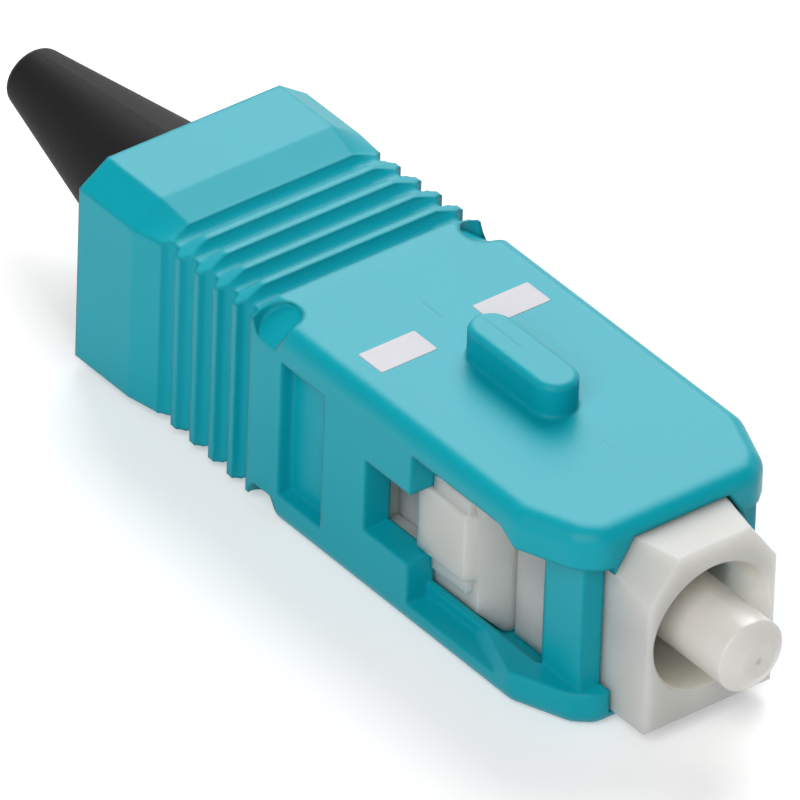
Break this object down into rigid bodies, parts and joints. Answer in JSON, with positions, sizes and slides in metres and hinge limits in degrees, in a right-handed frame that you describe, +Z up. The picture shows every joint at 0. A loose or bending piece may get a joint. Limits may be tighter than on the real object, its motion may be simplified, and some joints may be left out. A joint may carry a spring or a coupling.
{
  "type": "sc fibre connector",
  "caption": "Push-pull fibre optic plug: square latching housing with a key rib and ribbed grip, inner frame, ceramic ferrule and tapered boot.",
  "frame": {"origin": "on the fibre axis at the front face of the plug frame", "axes": "+X along the fibre towards the mating end, +Z up towards the polarity key, +Y across the width"},
  "size_m": [0.0372, 0.009, 0.0086],
  "materials": {
    "aqua_plastic": "satin",
    "white_plastic": "satin",
    "zirconia": "gloss",
    "silica": "gloss",
    "grey_plastic": "satin",
    "clear_plank": "gloss",
    "spring_steel": "satin",
    "cam_plastic": "satin",
    "crimp_metal": "satin",
    "boot_rubber": "satin"
  },
  "bodies": {
    "core": {"plug_frame": "white_plastic", "spring_retainer": "grey_plastic", "coil_spring": "spring_steel"},
    "housing": {"outer_housing": "aqua_plastic"},
    "ferrule_group": {"ferrule": "zirconia", "fibre_stub": "silica", "ferrule_holder": "grey_plastic", "splice_plank_upper": "clear_plank", "splice_plank_lower": "clear_plank"},
    "cam": {"cam_sleeve": "cam_plastic", "crimp_tube": "crimp_metal", "lead_in_tube": "clear_plank", "boot": "boot_rubber"}
  },
  "joints": [
    {"name": "housing_slide", "type": "slide", "parent": "core", "child": "housing", "axis": [1, 0, 0], "range_m": [-0.0023, 0]},
    {"name": "ferrule_float", "type": "slide", "parent": "core", "child": "ferrule_group", "axis": [1, 0, 0], "range_m": [-0.0015, 0], "stiffness_N_per_m": 1500, "deforming": ["coil_spring"]},
    {"name": "cam_turn", "type": "hinge", "parent": "core", "child": "cam", "pos_m": [-0.017, 0, 0], "axis": [1, 0, 0], "range_deg": [0, 90]}
  ]
}
